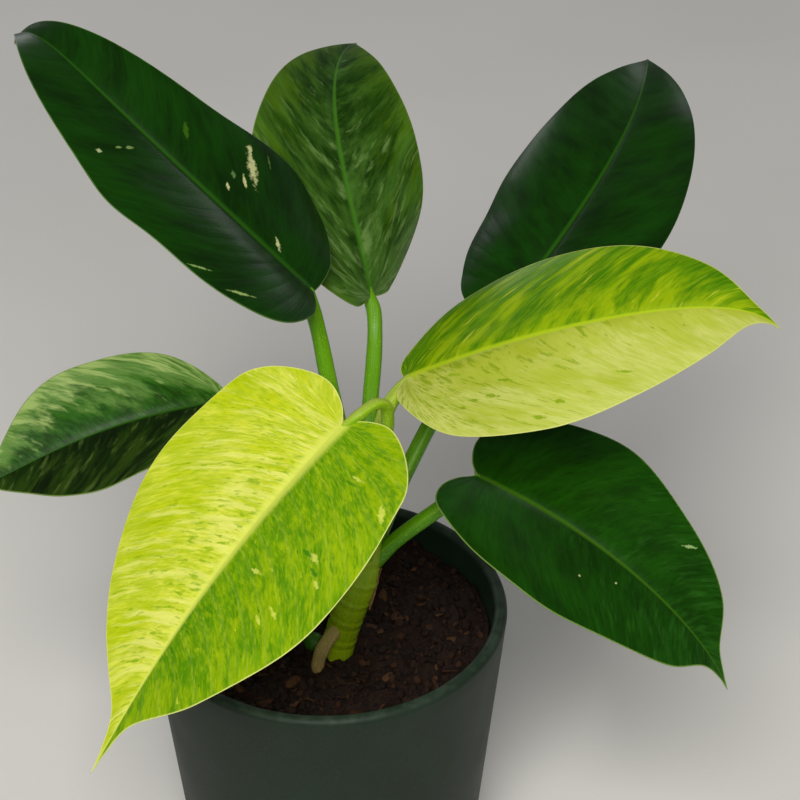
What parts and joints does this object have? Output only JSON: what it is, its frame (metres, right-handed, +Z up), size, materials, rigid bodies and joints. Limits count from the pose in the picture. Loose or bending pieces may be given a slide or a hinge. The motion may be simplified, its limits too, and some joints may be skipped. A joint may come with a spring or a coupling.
{
  "type": "potted variegated philodendron",
  "caption": "Variegated philodendron with long-stalked heart-shaped to oblong leaves, dark green, lime and marbled, on one short stem in a plain tapered round pot filled with soil.",
  "frame": {"origin": "centre of the pot's flat underside", "axes": "+Z up along the pot's axis; +X to the right and +Y away from the viewer in the picture's view"},
  "size_m": [0.2682, 0.2762, 0.3127],
  "materials": {
    "pot": "matte",
    "soil": "matte",
    "stem": "satin",
    "root": "matte",
    "bud": "satin",
    "stalk": "satin",
    "leaf_dark": "gloss",
    "leaf_marbled": "gloss",
    "leaf_lime": "satin"
  },
  "bodies": {
    "root": {"pot": "pot", "soil": "soil", "stem": "stem", "aerial_root": "root", "basal_bud": "bud", "stalk_upper_left": "stalk", "stalk_back": "stalk", "stalk_upper_right": "stalk", "stalk_right": "stalk", "stalk_lower_right": "stalk", "stalk_front": "stalk", "stalk_left": "stalk", "blade_upper_left": "leaf_dark", "blade_back": "leaf_marbled", "blade_upper_right": "leaf_dark", "blade_right": "leaf_lime", "blade_lower_right": "leaf_dark", "blade_front": "leaf_lime", "blade_left": "leaf_marbled"}
  },
  "joints": []
}
